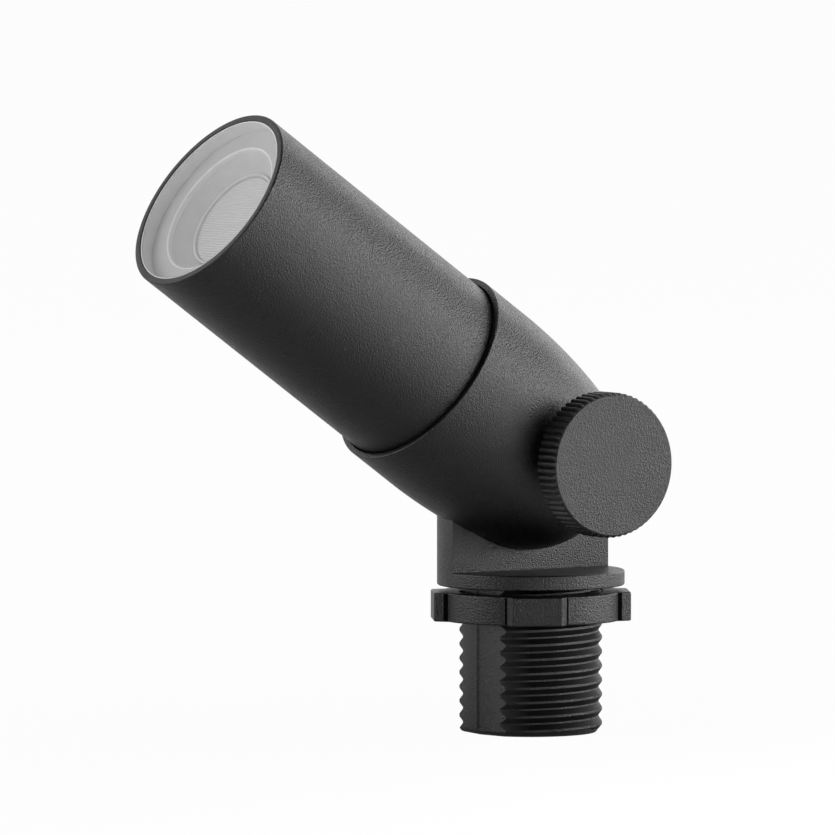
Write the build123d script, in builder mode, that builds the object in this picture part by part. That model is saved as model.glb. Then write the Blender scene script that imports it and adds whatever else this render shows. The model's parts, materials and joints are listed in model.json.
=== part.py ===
from build123d import *
import os
from math import asin, cos, degrees, radians, sin, sqrt, tan

# Accent light: a tubular spotlight that tilts on a side knuckle above a threaded stem.
# Origin: centre of the flange's underside, on the stem's axis. +Z is up.
# The pivot runs along Y, with the knob on the -Y side, and the head aims towards -X.
# Millimetres and degrees.

# Pose of the head
pivot_height = 17.8
head_tilt = 35.0

# Front tube and window
tube_radius = 14.0
tube_wall = 1.8
rim_width = 1.0
rim_bevel = 0.2
glass_thickness = 2.0
glass_recess = 0.2
glass_bevel = 0.25
gasket_thickness = 0.8
gasket_width = 3.2

# Rear housing, a bullet with a straight collar
collar_wall = 0.9
collar_length = 8.0
ogive_radius = 78.0
round_start = -2.0
socket_depth = 7.0
socket_web = 2.5
lip_chamfer = 0.2
seal_setback = 2.0
seal_groove_width = 1.3
seal_groove_depth = 0.9
seal_bevel = 0.2

# Optics and light engine
reflector_lip = 2.45
reflector_wall = 4.5
reflector_cone_depth = 2.2
window_gap = 1.8
holder_lip = 0.4
holder_seat_depth = 1.6
lens_flange = 1.3
lens_ledge = 0.65
lens_foot = 1.0
lens_cone_height = 8.8
lens_gap = 0.7
lens_pocket_gap = 0.9
led_board_margin = 0.5
led_board_thickness = 1.6
led_width = 3.45
led_base = 0.7
led_dome_radius = 1.5
sink_length = 12.0
sink_web = 5.0
sink_wall = 1.7

# Driver
driver_length = 18.0
driver_thickness = 1.6
driver_drop = 3.0
driver_edge_gap = 0.25
coil_radius = 3.8
coil_height = 5.5
coil_margin = 6.0
coil_setback = 5.5
capacitor_radius = 3.0
capacitor_length = 9.0
capacitor_margin = 5.6
lead_radius = 0.5
lead_spacing = 1.8
lead_overlap = 4.0

# Knuckle: flat faces, wire way and clamp
notch_clearance = 0.365
channel_inner = 5.4
channel_margin = 1.6
channel_depth = 5.0
wire_hole_radius = 1.7
wire_hole_depth = 3.2
head_grommet_flange = 2.8
head_grommet_lip = 0.8
head_grommet_length = 3.5
head_grommet_bore = 1.0
boss_radius = 6.2
boss_setback = 1.1
stud_radius = 3.0
bush_wall = 1.4
spring_radius = 5.4
spring_thickness = 0.4
washer_radius = 5.6
washer_thickness = 0.8

# Thumb knob and its stud
knob_radius = 10.1
ridge_length = 3.3
ridge_count = 64
ridge_depth = 0.35
knob_bevel_width = 0.65
knob_bevel_length = 0.75
hub_radius = 5.8
hub_height = 1.4
core_gap = 1.0
knob_wall = 1.3
core_depth = 2.2
stud_head_flats = 8.0
stud_head_length = 3.1
stud_head_cover = 0.8
stud_reach = 8.0
stud_point = 0.6

# Knuckle base: block, flange and stem
flange_width = 3.135
flange_thickness = 2.1
flange_bevel = 0.25
stem_radius = 10.0
stem_length = 20.7
stem_end_round = 0.8
stem_flat_depth = 0.7
runout_margin = 0.29
runout_relief = 0.16
stem_wall = 3.2
stem_bore_rise = 0.4
wire_way_inset = 0.2
wire_way_radius = 2.0
wire_way_rise = 0.3
port_radius = 1.7
insert_wall = 1.4
insert_setback = 0.6
insert_length = 8.4
insert_floor_gap = 0.6
face_seal_margin = 2.435
face_seal_width = 1.4
face_seal_stand = 0.05
stem_grommet_length = 6.0
stem_grommet_setback = 0.6
stem_grommet_bore = 2.6
stem_grommet_bevel = 0.4

# Locknut
nut_wall = 2.55
nut_height = 4.07
nut_gap = 0.84
nut_lugs = 4
nut_lug_height = 1.57
nut_lug_tip = 7.05
nut_lug_draft = 25.5
nut_turn = 59.9
nut_edge = 0.25

# Clearances
running_clearance = 0.06
thread_clearance = 0.15
socket_clearance = 0.1
slip_clearance = 0.1
press_clearance = 0.02
glass_clearance = 0.06
seal_clearance = 0.02
lens_clearance = 0.15
lay_clearance = 0.05
end_clearance = 0.2
flat_clearance = 0.1
wire_clearance = 0.4

# Radii of the head, from the tube outwards and inwards
tube_bore = tube_radius - tube_wall
seat_radius = tube_radius - rim_width
glass_radius = seat_radius - glass_clearance
socket_radius = tube_radius + socket_clearance
housing_radius = socket_radius + collar_wall
seal_floor = tube_radius - seal_groove_depth
seal_width = socket_radius - seal_floor - 2 * seal_clearance
liner_radius = tube_bore - slip_clearance
reflector_mouth = liner_radius - reflector_lip
reflector_bore = liner_radius - reflector_wall
holder_radius = reflector_bore - slip_clearance
holder_bore = holder_radius - holder_lip
lens_radius = holder_bore - lens_clearance
lens_cone_top = lens_radius - lens_ledge
lens_pocket_radius = led_dome_radius + lens_pocket_gap
lens_cone_base = lens_pocket_radius + lens_foot
led_board_radius = liner_radius - led_board_margin
driver_foot = driver_drop + driver_thickness
driver_half_width = sqrt((tube_bore - driver_edge_gap) ** 2 - driver_foot**2)
coil_offset = driver_half_width - coil_margin
capacitor_offset = driver_half_width - capacitor_margin

# Radii of the knuckle, the knob, the stem and the nut
bush_bore = stud_radius + running_clearance
bush_radius = bush_bore + bush_wall
insert_radius = bush_bore + insert_wall
flange_radius = stem_radius + flange_width
face_seal_radius = flange_radius - face_seal_margin
channel_outer = face_seal_radius - channel_margin
port_drop = channel_outer - port_radius
core_inner = hub_radius + core_gap
core_outer = knob_radius - knob_wall
stem_flat = stem_radius - stem_flat_depth
stem_bore = stem_radius - stem_wall
wire_way_offset = stem_bore - wire_way_radius - wire_way_inset
nut_bore = stem_radius + thread_clearance
nut_radius = nut_bore + nut_wall
nut_lug_radius = nut_radius + nut_lug_height

# Stations along the head's axis, measured from the pivot: the tube is as long as what it holds
notch_distance = flange_radius + notch_clearance
socket_floor = notch_distance + socket_web
housing_front = socket_floor + socket_depth
tube_tail = socket_floor + end_clearance
seal_station = housing_front - seal_setback
driver_back = socket_floor + head_grommet_lip + end_clearance
driver_front = driver_back + driver_length
sink_back = driver_front + end_clearance
sink_front = sink_back + sink_length
led_plane = sink_front + led_board_thickness
lens_back = led_plane + led_base + lens_gap
lens_pocket_top = lens_back + led_dome_radius + lens_gap
lens_shoulder = lens_back + lens_cone_height
holder_top = lens_shoulder + holder_seat_depth
seat_floor = holder_top + window_gap
glass_back = seat_floor + gasket_thickness
glass_front = glass_back + glass_thickness
rim_distance = glass_front + glass_recess

# Stations along the pivot, measured from the stem's axis towards the knob
boss_face = housing_radius - boss_setback
washer_back = boss_face + spring_thickness + lay_clearance
hub_face = washer_back + washer_thickness
knob_back = hub_face + hub_height
bevel_start = knob_back + ridge_length
knob_face = bevel_start + knob_bevel_length
stud_head_back = hub_face + stud_head_cover

# Stations along the stem, measured from the flange's underside
runout_length = nut_gap + nut_height + runout_margin
stem_end = -stem_length

# The bullet's round end meets its ogive with one tangent
collar_back = housing_front - collar_length
ogive_turn = degrees(asin((collar_back - round_start) / ogive_radius))
round_radius = (housing_radius - ogive_radius * (1 - cos(radians(ogive_turn)))) / cos(radians(ogive_turn))

# The head leans as far as the sides of its notch let it, and as far the other way
tilt_stop = 90 + head_tilt

# Frames: the head's axis, the pivot's axis and the planes through them
pivot = (0, 0, pivot_height)
aim = (-cos(radians(head_tilt)), 0, sin(radians(head_tilt)))
head_axis = Axis(pivot, aim)
pivot_axis = Axis(pivot, (0, -1, 0))
# across the head: x towards the knob, z along the aim
head_plane = Plane(origin=pivot, x_dir=(0, -1, 0), z_dir=aim)
# along the head: x towards the knob, y along the aim
head_section = Plane(origin=pivot, x_dir=(0, -1, 0), z_dir=(-aim[2], 0, aim[0]))
# across the pivot: z towards the knob
pivot_plane = Plane(origin=pivot, x_dir=(1, 0, 0), z_dir=(0, -1, 0))
# across the pivot: x along the aim, z towards the knob
swing_plane = Plane(origin=pivot, x_dir=aim, z_dir=(0, -1, 0))
# along the pivot: y towards the knob
pivot_section = Plane(origin=pivot, x_dir=(1, 0, 0), z_dir=(0, 0, -1))

os.makedirs("parts", exist_ok=True)


def band(inner, outer, start, end, mode=Mode.ADD):
    """Rectangle between two radii and two stations, in the sketch that is open."""
    with Locations(((inner + outer) / 2, (start + end) / 2)):
        Rectangle(outer - inner, end - start, mode=mode)


# Front tube: barrel with the window's seat in front and the seal's groove in its tail
with BuildPart() as front_tube:
    with BuildSketch(head_section):
        band(tube_bore, tube_radius, tube_tail, rim_distance)
        band(tube_bore, seat_radius, seat_floor, rim_distance, Mode.SUBTRACT)
        groove_back = seal_station - seal_groove_width / 2
        band(seal_floor, tube_radius, groove_back, groove_back + seal_groove_width, Mode.SUBTRACT)
    revolve(axis=head_axis)
    rim = front_tube.faces().sort_by(head_axis)[-1]
    chamfer(rim.outer_wire().edges(), rim_bevel)
front_tube.part.label = "front_tube"
export_step(front_tube.part, "parts/front_tube.step")

# Front glass: bevelled disc
with BuildPart() as front_glass:
    with BuildSketch(head_plane.offset(glass_back)):
        Circle(glass_radius)
    extrude(amount=glass_thickness)
    chamfer(front_glass.faces().sort_by(head_axis)[-1].edges(), glass_bevel)
front_glass.part.label = "front_glass"
export_step(front_glass.part, "parts/front_glass.step")

# Glass gasket: flat ring between the glass and its seat
with BuildPart() as glass_gasket:
    with BuildSketch(head_plane.offset(seat_floor)):
        Circle(glass_radius)
        Circle(glass_radius - gasket_width, mode=Mode.SUBTRACT)
    extrude(amount=gasket_thickness)
glass_gasket.part.label = "glass_gasket"
export_step(glass_gasket.part, "parts/glass_gasket.step")

# Reflector cup: sleeve that stands on the LED board, with a flat lip and a short cone behind the window
with BuildPart() as reflector_cup:
    with BuildSketch(head_section):
        with BuildLine():
            Polyline(
                (reflector_bore, led_plane),
                (liner_radius, led_plane),
                (liner_radius, seat_floor),
                (reflector_mouth, seat_floor),
                (reflector_bore, seat_floor - reflector_cone_depth),
                close=True,
            )
        make_face()
    revolve(axis=head_axis)
reflector_cup.part.label = "reflector_cup"
export_step(reflector_cup.part, "parts/reflector_cup.step")

# Lens holder: cup with a conical inside and a seat for the lens's flange
with BuildPart() as lens_holder:
    with BuildSketch(head_section):
        with BuildLine():
            Polyline(
                (lens_cone_base + lens_clearance, led_plane),
                (holder_radius, led_plane),
                (holder_radius, holder_top),
                (holder_bore, holder_top),
                (holder_bore, lens_shoulder),
                (lens_cone_top + lens_clearance, lens_shoulder),
                (lens_cone_base + lens_clearance, lens_back),
                close=True,
            )
        make_face()
    revolve(axis=head_axis)
lens_holder.part.label = "lens_holder"
export_step(lens_holder.part, "parts/lens_holder.step")

# Collimating lens: solid cone with a flange on top and a pocket over the LED
with BuildPart() as tir_lens:
    with BuildSketch(head_section):
        with BuildLine():
            Polyline(
                (0, lens_pocket_top),
                (lens_pocket_radius, lens_pocket_top),
                (lens_pocket_radius, lens_back),
                (lens_cone_base, lens_back),
                (lens_cone_top, lens_shoulder),
                (lens_radius, lens_shoulder),
                (lens_radius, lens_shoulder + lens_flange),
                (0, lens_shoulder + lens_flange),
                close=True,
            )
        make_face()
    revolve(axis=head_axis)
tir_lens.part.label = "tir_lens"
export_step(tir_lens.part, "parts/tir_lens.step")

# LED: square package with a domed lens
with BuildPart() as led_chip:
    with BuildSketch(head_plane.offset(led_plane)):
        Rectangle(led_width, led_width)
    extrude(amount=led_base)
    with BuildSketch(head_section):
        with BuildLine():
            CenterArc((0, led_plane + led_base), led_dome_radius, 0, 90)
            Line((0, led_plane + led_base + led_dome_radius), (0, led_plane + led_base))
            Line((0, led_plane + led_base), (led_dome_radius, led_plane + led_base))
        make_face()
    revolve(axis=head_axis)
led_chip.part.label = "led_chip"
export_step(led_chip.part, "parts/led_chip.step")

# LED board: metal-core disc on the heat sink
with BuildPart() as led_board:
    with BuildSketch(head_plane.offset(sink_front)):
        Circle(led_board_radius)
    extrude(amount=led_board_thickness)
led_board.part.label = "led_board"
export_step(led_board.part, "parts/led_board.step")

# Heat sink: cup with a thick web, open to the rear, with a slot for the leads
lead_height = -driver_drop + lay_clearance + lead_radius
with BuildPart() as heat_sink:
    with BuildSketch(head_section):
        band(0, liner_radius, sink_back, sink_front)
        band(0, liner_radius - sink_wall, sink_back, sink_front - sink_web, Mode.SUBTRACT)
    revolve(axis=head_axis)
    with BuildSketch(head_plane.offset(sink_front)):
        with Locations((0, lead_height)):
            SlotCenterToCenter(lead_spacing, 2 * (lead_radius + wire_clearance))
    extrude(amount=-sink_web, mode=Mode.SUBTRACT)
heat_sink.part.label = "heat_sink"
export_step(heat_sink.part, "parts/heat_sink.step")

# Driver board: plate whose long edges lie in the tube's bore
driver_top = -driver_drop
with BuildPart() as driver_board:
    with BuildSketch(head_plane.offset(driver_back)):
        with Locations((0, driver_top - driver_thickness / 2)):
            Rectangle(2 * driver_half_width, driver_thickness)
    extrude(amount=driver_length)
driver_board.part.label = "driver_board"
export_step(driver_board.part, "parts/driver_board.step")

# Driver coil: drum that stands on the board
with BuildPart() as driver_coil:
    coil_plane = Plane(head_plane.from_local_coords((-coil_offset, driver_top, driver_back + coil_setback)),
                       x_dir=(0, -1, 0), z_dir=head_plane.y_dir)
    with BuildSketch(coil_plane):
        Circle(coil_radius)
    extrude(amount=coil_height)
driver_coil.part.label = "driver_coil"
export_step(driver_coil.part, "parts/driver_coil.step")

# Driver capacitor: can that lies along the board
with BuildPart() as driver_capacitor:
    with BuildSketch(head_plane.offset(driver_back + coil_setback)):
        with Locations((capacitor_offset, driver_top + lay_clearance + capacitor_radius)):
            Circle(capacitor_radius)
    extrude(amount=capacitor_length)
driver_capacitor.part.label = "driver_capacitor"
export_step(driver_capacitor.part, "parts/driver_capacitor.step")

# LED leads: two wires from the driver, through the sink's slot, to the back of the LED board
with BuildPart() as led_leads:
    with BuildSketch(head_plane.offset(driver_front - lead_overlap)):
        with GridLocations(lead_spacing, 0, 2, 1):
            with Locations((0, lead_height)):
                Circle(lead_radius)
    extrude(amount=sink_front - driver_front + lead_overlap - lay_clearance)
led_leads.part.label = "led_leads"
export_step(led_leads.part, "parts/led_leads.step")

# Rear housing: bullet with a socket in front, half of its rear cut away round the knuckle block
with BuildPart() as rear_housing:
    with BuildSketch(head_section):
        with BuildLine():
            collar = Line((housing_radius, housing_front), (housing_radius, collar_back))
            ogive = JernArc(collar @ 1, (0, -1), ogive_radius, -ogive_turn)
            nose = JernArc(ogive @ 1, ogive % 1, round_radius, ogive_turn - 90)
            Line(nose @ 1, (0, housing_front))
            Line((0, housing_front), collar @ 0)
        make_face()
    revolve(axis=head_axis)
    # boss under the knob, faced off square to the pivot
    with BuildSketch(pivot_plane):
        Circle(boss_radius)
    extrude(amount=boss_face)
    with BuildSketch(pivot_plane.offset(boss_face)):
        Circle(boss_radius)
    extrude(amount=housing_radius, mode=Mode.SUBTRACT)
    # half of the rear is cut away in an arch round the block, and the arch's sides stop the tilt
    with BuildSketch(swing_plane.offset(flat_clearance)):
        Circle(notch_distance)
        for stop in (tilt_stop, -tilt_stop):
            Rectangle(3 * housing_radius, 2 * notch_distance, rotation=stop, align=(Align.MIN, Align.CENTER))
    extrude(amount=-2 * housing_radius, mode=Mode.SUBTRACT)
    # socket for the tube
    with BuildSketch(head_plane.offset(socket_floor)):
        Circle(socket_radius)
    extrude(amount=socket_depth, mode=Mode.SUBTRACT)
    lip = rear_housing.faces().sort_by(head_axis)[-1]
    chamfer(lip.edges(), lip_chamfer)
    # ring channel for the wires, open to the flat
    with BuildSketch(pivot_plane.offset(flat_clearance)):
        Circle(channel_outer)
        Circle(channel_inner, mode=Mode.SUBTRACT)
    extrude(amount=channel_depth, mode=Mode.SUBTRACT)
    # wire hole from the socket's floor into the channel
    with BuildSketch(head_plane.offset(socket_floor)):
        with Locations((flat_clearance + wire_hole_depth, 0)):
            Circle(wire_hole_radius)
    extrude(amount=(channel_inner + channel_outer) / 2 - socket_floor, mode=Mode.SUBTRACT)
    # bore for the bush
    with BuildSketch(pivot_plane):
        Circle(bush_radius + press_clearance)
    extrude(amount=boss_face, mode=Mode.SUBTRACT)
rear_housing.part.label = "rear_housing"
export_step(rear_housing.part, "parts/rear_housing.step")

# Body seal: square ring in the tail's groove
with BuildPart() as body_seal:
    with BuildSketch(head_section) as body_seal_section:
        with Locations((seal_floor + seal_clearance + seal_width / 2, seal_station)):
            Rectangle(seal_width, seal_width)
        chamfer(body_seal_section.vertices(), seal_bevel)
    revolve(axis=head_axis)
body_seal.part.label = "body_seal"
export_step(body_seal.part, "parts/body_seal.step")

# Head grommet: flanged sleeve in the wire hole
with BuildPart() as head_grommet:
    with BuildSketch(head_plane.offset(socket_floor)):
        with Locations((flat_clearance + wire_hole_depth, 0)):
            Circle(head_grommet_flange)
    extrude(amount=head_grommet_lip)
    with BuildSketch(head_plane.offset(socket_floor)):
        with Locations((flat_clearance + wire_hole_depth, 0)):
            Circle(wire_hole_radius - press_clearance)
    extrude(amount=-head_grommet_length)
    with BuildSketch(head_plane.offset(socket_floor + head_grommet_lip)):
        with Locations((flat_clearance + wire_hole_depth, 0)):
            Circle(head_grommet_bore)
    extrude(amount=-head_grommet_lip - head_grommet_length, mode=Mode.SUBTRACT)
head_grommet.part.label = "head_grommet"
export_step(head_grommet.part, "parts/head_grommet.step")

# Pivot bush: plain sleeve from the flat to the boss's face
with BuildPart() as pivot_bush:
    with BuildSketch(pivot_plane.offset(flat_clearance)):
        Circle(bush_radius)
        Circle(bush_bore, mode=Mode.SUBTRACT)
    extrude(amount=boss_face - flat_clearance)
pivot_bush.part.label = "pivot_bush"
export_step(pivot_bush.part, "parts/pivot_bush.step")

# Spring washer, pressed flat by the knob
with BuildPart() as spring_washer:
    with BuildSketch(pivot_plane.offset(boss_face)):
        Circle(spring_radius)
        Circle(bush_bore + slip_clearance, mode=Mode.SUBTRACT)
    extrude(amount=spring_thickness)
spring_washer.part.label = "spring_washer"
export_step(spring_washer.part, "parts/spring_washer.step")

# Knob washer: thrust washer under the hub
with BuildPart() as knob_washer:
    with BuildSketch(pivot_plane.offset(washer_back)):
        Circle(washer_radius)
        Circle(bush_bore, mode=Mode.SUBTRACT)
    extrude(amount=washer_thickness)
knob_washer.part.label = "knob_washer"
export_step(knob_washer.part, "parts/knob_washer.step")

# Thumb knob: bevelled disc with straight ridges, a hub, a cored back and the stud's pocket
with BuildPart() as thumb_knob:
    with BuildSketch(pivot_section):
        with BuildLine():
            Polyline(
                (0, hub_face),
                (hub_radius, hub_face),
                (hub_radius, knob_back),
                (core_inner, knob_back),
                (core_inner, knob_back + core_depth),
                (core_outer, knob_back + core_depth),
                (core_outer, knob_back),
                (knob_radius, knob_back),
                (knob_radius, bevel_start),
                (knob_radius - knob_bevel_width, knob_face),
                (0, knob_face),
                close=True,
            )
        make_face()
    revolve(axis=pivot_axis)
    with BuildSketch(pivot_plane.offset(knob_back)):
        with PolarLocations(knob_radius, ridge_count):
            RegularPolygon(ridge_depth, 4)
    extrude(amount=knob_face - knob_back, mode=Mode.SUBTRACT)
    with BuildSketch(pivot_plane.offset(stud_head_back - press_clearance)):
        RegularPolygon(stud_head_flats / 2 + press_clearance, 6, major_radius=False)
    extrude(amount=stud_head_length + 2 * press_clearance, mode=Mode.SUBTRACT)
    with BuildSketch(pivot_plane.offset(hub_face)):
        Circle(stud_radius + press_clearance)
    extrude(amount=stud_head_cover, mode=Mode.SUBTRACT)
thumb_knob.part.label = "thumb_knob"
export_step(thumb_knob.part, "parts/thumb_knob.step")

# Knob stud: hexagon head inside the knob, shank through the housing into the insert
with BuildPart() as knob_stud:
    with BuildSketch(pivot_plane.offset(stud_head_back)):
        RegularPolygon(stud_head_flats / 2, 6, major_radius=False)
    extrude(amount=stud_head_length)
    with BuildSketch(pivot_plane.offset(-stud_reach)):
        Circle(stud_radius)
    extrude(amount=stud_reach + stud_head_back)
    chamfer(knob_stud.faces().sort_by(pivot_axis)[0].edges(), stud_point)
knob_stud.part.label = "knob_stud"
export_step(knob_stud.part, "parts/knob_stud.step")

# Knuckle base: half-round block with a domed top, flange and stem in one moulding
face_groove_half = face_seal_width / 2 + seal_clearance
face_groove_floor = face_seal_width - face_seal_stand + seal_clearance
with BuildPart() as knuckle_base:
    with BuildSketch():
        Circle(flange_radius)
    extrude(amount=flange_thickness)
    chamfer(knuckle_base.edges().filter_by(GeomType.CIRCLE), flange_bevel)
    # block: half a cylinder that ends in a quarter of a ball about the pivot
    with BuildSketch(Plane.XZ):
        with BuildLine():
            dome = CenterArc((0, pivot_height), flange_radius, 0, 90)
            Line(dome @ 1, (0, flange_bevel))
            Line((0, flange_bevel), (flange_radius, flange_bevel))
            Line((flange_radius, flange_bevel), dome @ 0)
        make_face()
    revolve(axis=Axis.Z, revolution_arc=180)
    # stem, relieved where the thread runs out under the flange
    with BuildSketch(Plane.XZ):
        band(0, stem_radius, stem_end, flange_bevel)
        band(stem_radius - runout_relief, stem_radius, -runout_length, flange_bevel, Mode.SUBTRACT)
    revolve(axis=Axis.Z)
    fillet(knuckle_base.faces().sort_by(Axis.Z)[0].edges(), stem_end_round)
    # two flats along the stem
    with BuildSketch(Plane.XY.offset(stem_end)):
        with GridLocations(2 * stem_flat + stem_radius, 0, 2, 1):
            Rectangle(stem_radius, 2 * stem_radius)
    extrude(amount=stem_length, mode=Mode.SUBTRACT)
    # cable bore, wire way and the port into the flat face
    with BuildSketch(Plane.XY.offset(stem_end)):
        Circle(stem_bore)
    extrude(amount=stem_length + stem_bore_rise, mode=Mode.SUBTRACT)
    with BuildSketch(Plane.XY.offset(stem_bore_rise)):
        with Locations((0, wire_way_offset)):
            Circle(wire_way_radius)
    port_top = pivot_height - port_drop + port_radius
    extrude(amount=port_top + wire_way_rise - stem_bore_rise, mode=Mode.SUBTRACT)
    with BuildSketch(pivot_plane):
        with Locations((0, -port_drop)):
            Circle(port_radius)
    extrude(amount=-wire_way_offset, mode=Mode.SUBTRACT)
    # blind hole for the insert and groove for the face seal
    with BuildSketch(pivot_plane):
        Circle(insert_radius + press_clearance)
    extrude(amount=-insert_setback - insert_length - insert_floor_gap, mode=Mode.SUBTRACT)
    with BuildSketch(pivot_plane):
        Circle(face_seal_radius + face_groove_half)
        Circle(face_seal_radius - face_groove_half, mode=Mode.SUBTRACT)
    extrude(amount=-face_groove_floor, mode=Mode.SUBTRACT)
knuckle_base.part.label = "knuckle_base"
export_step(knuckle_base.part, "parts/knuckle_base.step")

# Pivot insert: threaded bush, drawn with a plain bore
with BuildPart() as pivot_insert:
    with BuildSketch(pivot_plane.offset(-insert_setback)):
        Circle(insert_radius)
        Circle(bush_bore, mode=Mode.SUBTRACT)
    extrude(amount=-insert_length)
pivot_insert.part.label = "pivot_insert"
export_step(pivot_insert.part, "parts/pivot_insert.step")

# Pivot seal: square ring in the block's flat face
with BuildPart() as pivot_seal:
    with BuildSketch(pivot_section) as pivot_seal_section:
        with Locations((face_seal_radius, face_seal_stand - face_seal_width / 2)):
            Rectangle(face_seal_width, face_seal_width)
        chamfer(pivot_seal_section.vertices(), seal_bevel)
    revolve(axis=pivot_axis)
pivot_seal.part.label = "pivot_seal"
export_step(pivot_seal.part, "parts/pivot_seal.step")

# Stem grommet: cable gland in the end of the stem
with BuildPart() as stem_grommet:
    with BuildSketch(Plane.XY.offset(stem_end + stem_grommet_setback)):
        Circle(stem_bore - press_clearance)
        Circle(stem_grommet_bore, mode=Mode.SUBTRACT)
    extrude(amount=stem_grommet_length)
    chamfer(stem_grommet.faces().sort_by(Axis.Z)[0].outer_wire().edges(), stem_grommet_bevel)
stem_grommet.part.label = "stem_grommet"
export_step(stem_grommet.part, "parts/stem_grommet.step")

# Locknut: ring with drafted lugs
with BuildPart() as locknut:
    lug_reach = nut_lug_radius * cos(asin(nut_lug_tip / 2 / nut_lug_radius))
    lug_root = nut_lug_tip / 2 + lug_reach * tan(radians(nut_lug_draft))
    with BuildSketch(Plane.XY.offset(-nut_gap - nut_height)):
        with PolarLocations(0, nut_lugs, start_angle=nut_turn):
            tip = nut_lug_tip / 2
            Polygon((0, -lug_root), (lug_reach, -tip), (lug_reach, tip), (0, lug_root), align=None)
        Circle(nut_radius)
        Circle(nut_bore, mode=Mode.SUBTRACT)
    extrude(amount=nut_height)
    chamfer(locknut.faces().filter_by(Axis.Z).edges(), nut_edge)
locknut.part.label = "locknut"
export_step(locknut.part, "parts/locknut.step")
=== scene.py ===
"""Accent light: the looks of a tilting tubular spotlight on a threaded stem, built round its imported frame."""
import json
from math import atan2, cos, pi, radians, sin, sqrt

import bmesh
import bpy
from bmesh.types import BMEdge, BMVert
from mathutils import Matrix, Vector


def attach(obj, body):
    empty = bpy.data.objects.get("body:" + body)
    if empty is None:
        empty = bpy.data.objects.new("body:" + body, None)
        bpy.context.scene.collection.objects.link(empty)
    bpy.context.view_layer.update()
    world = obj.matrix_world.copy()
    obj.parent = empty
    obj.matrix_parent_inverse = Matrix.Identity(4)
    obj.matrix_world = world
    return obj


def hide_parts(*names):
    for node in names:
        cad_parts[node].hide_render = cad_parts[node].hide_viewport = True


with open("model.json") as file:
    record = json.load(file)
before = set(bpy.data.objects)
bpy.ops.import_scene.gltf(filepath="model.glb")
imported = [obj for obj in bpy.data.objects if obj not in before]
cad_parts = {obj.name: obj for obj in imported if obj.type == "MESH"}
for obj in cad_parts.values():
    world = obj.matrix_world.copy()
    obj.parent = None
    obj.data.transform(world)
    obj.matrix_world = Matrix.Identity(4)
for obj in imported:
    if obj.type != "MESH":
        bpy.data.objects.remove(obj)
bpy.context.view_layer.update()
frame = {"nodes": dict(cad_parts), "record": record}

bl_info = {
    "name": "Accent Light",
    "version": (1, 0, 0),
    "blender": (4, 5, 0),
    "location": "View3D > Sidebar > Accent Light",
    "description": "Dresses the packed accent light: shells, window, knob, base, locknut, finishes and stage",
    "category": "Object",
}

# Lengths are millimetres while a piece is shaped, and its place turns them into metres.
MM = 0.001
WELD = 0.0005
CUT = WELD / 10
TURN_STEPS = 192
CREASE = radians(32)
SHARP = radians(30)

# Head, as stations along its axis from the pivot and radii about it
TILT = radians(35)
PIVOT = Vector((0, 0, 17.8))
TUBE_RADIUS = 14.0
TUBE_BORE = 12.2
TUBE_TAIL = 16.2
GROOVE_RADIUS = 13.1
GROOVE_BACK = 20.35
GROOVE_FRONT = 21.65
SEAT_RADIUS = 13.0
SEAT_FLOOR = 62.4
RIM = 65.4

# Window and optics, measured like the head
GLASS_RADIUS = 12.83
GLASS_BACK = 63.2
GLASS_FRONT = 65.2
BORDER_BORE = 10.05
BORDER_RADIUS = 12.81
BORDER_BACK = 63.165
BORDER_FRONT = 63.195
GASKET_BORE = 9.74
GASKET_TOP = 63.16
GASKET_ROUND = 0.2
UPSTAND_BORE = 12.84
UPSTAND_RADIUS = 12.985
UPSTAND_TOP = 65.24
LINER_RADIUS = 12.1
LIP_RADIUS = 9.65
LIP_ROUND = 0.2
CUP_BORE = 7.6
CONE_FOOT = 60.2
FOOT_ROUND = 0.1
LED_PLANE = 48.8
HOLDER_RADIUS = 7.5
HOLDER_BORE = 7.1
HOLDER_TOP = 60.6
HOLDER_THROAT = 3.55
HOLDER_LEDGE = 6.45
HOLDER_ROUND = 0.08
LENS_RADIUS = 6.95
LENS_BACK = 50.2
LENS_SHOULDER = 59.0
LENS_FACE = 60.3
LENS_FOOT = 3.4
LENS_CONE = 6.3
POCKET_RADIUS = 2.4
POCKET_FLOOR = 52.4
RIB_CREASE = radians(8)

# Rear housing: a bullet of two arcs behind a straight collar
HOUSING_RADIUS = 15.0
HOUSING_FRONT = 23.0
SOCKET_RADIUS = 14.1
SOCKET_FLOOR = 16.0
COLLAR_BACK = 15.0
OGIVE_RADIUS = 78.0
OGIVE_STEPS = 16
ROUND_START = -2.0
ROUND_STEPS = 44
NOTCH = 13.5
NOTCH_STEPS = 28
TILT_TRAVEL = radians(110)

# Flat and boss of the housing, as stations along the pivot; the tools that cut them reach past the shape
FLAT = 0.1
BOSS_RADIUS = 6.2
BOSS_FACE = 13.9
BOSS_ROOT = 6.0
BOSS_ROUND = 0.15
BOSS_MARGIN = 0.15
BOSS_STEP = 0.04
BUSH_BORE = 4.48
CHANNEL_BORE = 5.4
CHANNEL_RADIUS = 9.1
CHANNEL_FLOOR = 5.1
PAST_FLAT = -1.0
PAST_BOSS = 20.0
PAST_HOUSING = 30.0
TOOL_STEPS = 96

# Knob, as stations along the pivot
HUB_FACE = 15.15
HUB_RADIUS = 5.8
KNOB_BACK = 16.55
BEVEL_START = 19.85
KNOB_FACE = 20.6
KNOB_RADIUS = 10.1
KNOB_FACE_RADIUS = 9.7
CORE_BORE = 6.8
CORE_RADIUS = 8.8
CORE_DEPTH = 2.2
STUD_BORE = 3.02
STUD_HEAD_RADIUS = 4.64
STUD_HEAD_BACK = 15.93
STUD_HEAD_FRONT = 19.07
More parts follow.
